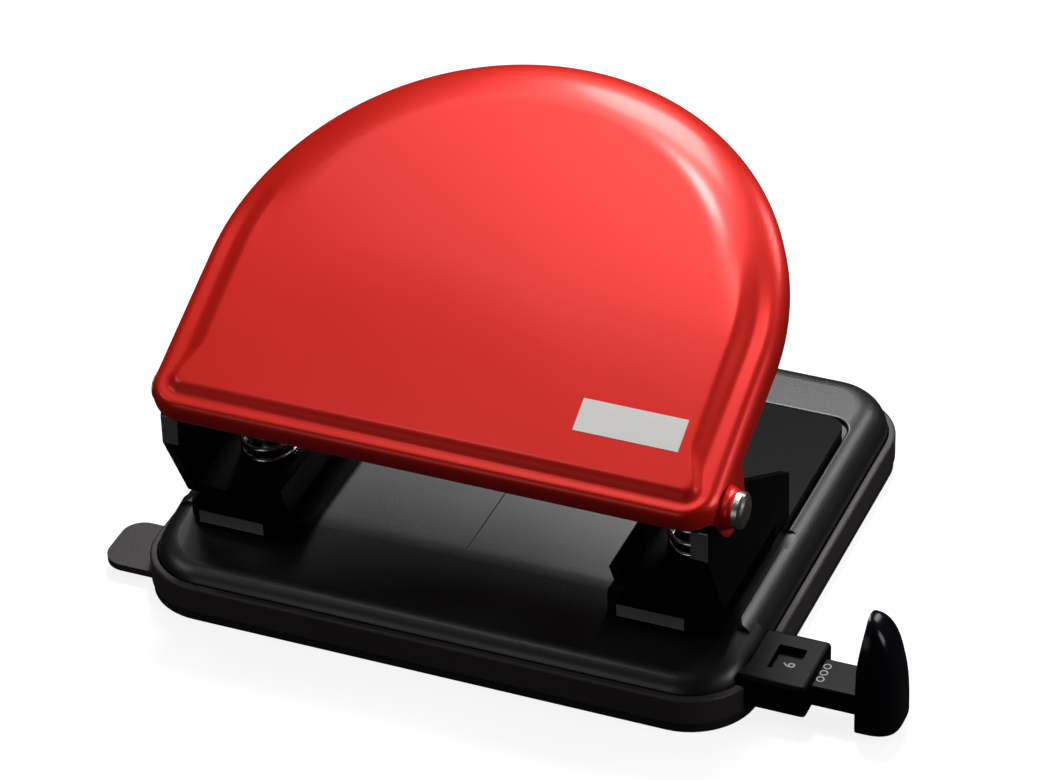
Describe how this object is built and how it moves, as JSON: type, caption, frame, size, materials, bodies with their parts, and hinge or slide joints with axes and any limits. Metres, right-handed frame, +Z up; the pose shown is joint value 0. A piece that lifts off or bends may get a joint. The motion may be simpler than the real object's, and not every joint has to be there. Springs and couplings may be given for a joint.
{
  "type": "hole punch",
  "caption": "Desk punch for filing holes: pressed-steel base with a chip tray, a broad hinged handle pushing spring-loaded pins, and a sliding paper guide.",
  "frame": {"origin": "on the table under the middle of the chip tray; X = 0 is midway between the two holes", "axes": "+X to the right towards the paper guide, +Y to the back towards the handle's free end, +Z up; paper enters from -Y"},
  "size_m": [0.1455, 0.0946, 0.0766],
  "materials": {
    "red_paint": "satin metallic red paint on pressed steel",
    "black_paint": "semi-matte black powder coat, bare steel on sheared edges",
    "tray_plastic": "fine-grained mauve-grey plastic",
    "pad_rubber": "matte black rubber",
    "guide_plastic": "glossy bluish-black moulded plastic",
    "pin_steel": "ground hardened steel",
    "spring_steel": "bright drawn steel wire",
    "plated_steel": "zinc plated, slightly rough"
  },
  "bodies": {
    "tray": {"chip_tray": "tray_plastic", "non_slip_pad": "pad_rubber"},
    "base": {"base_shell": "black_paint", "left_die_plate": "black_paint", "right_die_plate": "black_paint", "left_tower": "black_paint", "right_tower": "black_paint", "left_spring": "spring_steel", "right_spring": "spring_steel", "left_pivot_rivet": "plated_steel", "right_pivot_rivet": "plated_steel", "left_pivot_washer": "plated_steel", "right_pivot_washer": "plated_steel", "guide_housing": "guide_plastic"},
    "handle": {"handle_shell": "red_paint", "press_bar": "plated_steel"},
    "left_pin": {"left_punch_pin": "pin_steel", "left_retaining_ring": "spring_steel"},
    "right_pin": {"right_punch_pin": "pin_steel", "right_retaining_ring": "spring_steel"},
    "guide": {"guide_rail": "guide_plastic", "guide_stop": "guide_plastic"}
  },
  "joints": [
    {"name": "tray_release", "type": "slide", "parent": "tray", "child": "base", "axis": [0, 0, 1], "range_m": [0, 0.015]},
    {"name": "handle_press", "type": "hinge", "parent": "base", "child": "handle", "pos_m": [0, -0.0377, 0.0418], "axis": [-1, 0, 0], "range_deg": [0, 25], "stiffness_Nm_per_rad": 0.5, "springref_deg": -28.65},
    {"name": "left_pin_slide", "type": "slide", "parent": "base", "child": "left_pin", "axis": [0, 0, -1], "range_m": [0, 0.0076], "deforming": ["left_spring"]},
    {"name": "right_pin_slide", "type": "slide", "parent": "base", "child": "right_pin", "axis": [0, 0, -1], "range_m": [0, 0.0076], "deforming": ["right_spring"]},
    {"name": "guide_slide", "type": "slide", "parent": "base", "child": "guide", "axis": [1, 0, 0], "range_m": [-0.0055, 0.0745]}
  ],
  "couplings": [
    {"joint": "left_pin_slide", "follows": "handle_press", "m_per_rad": 0.01687},
    {"joint": "right_pin_slide", "follows": "handle_press", "m_per_rad": 0.01687}
  ]
}
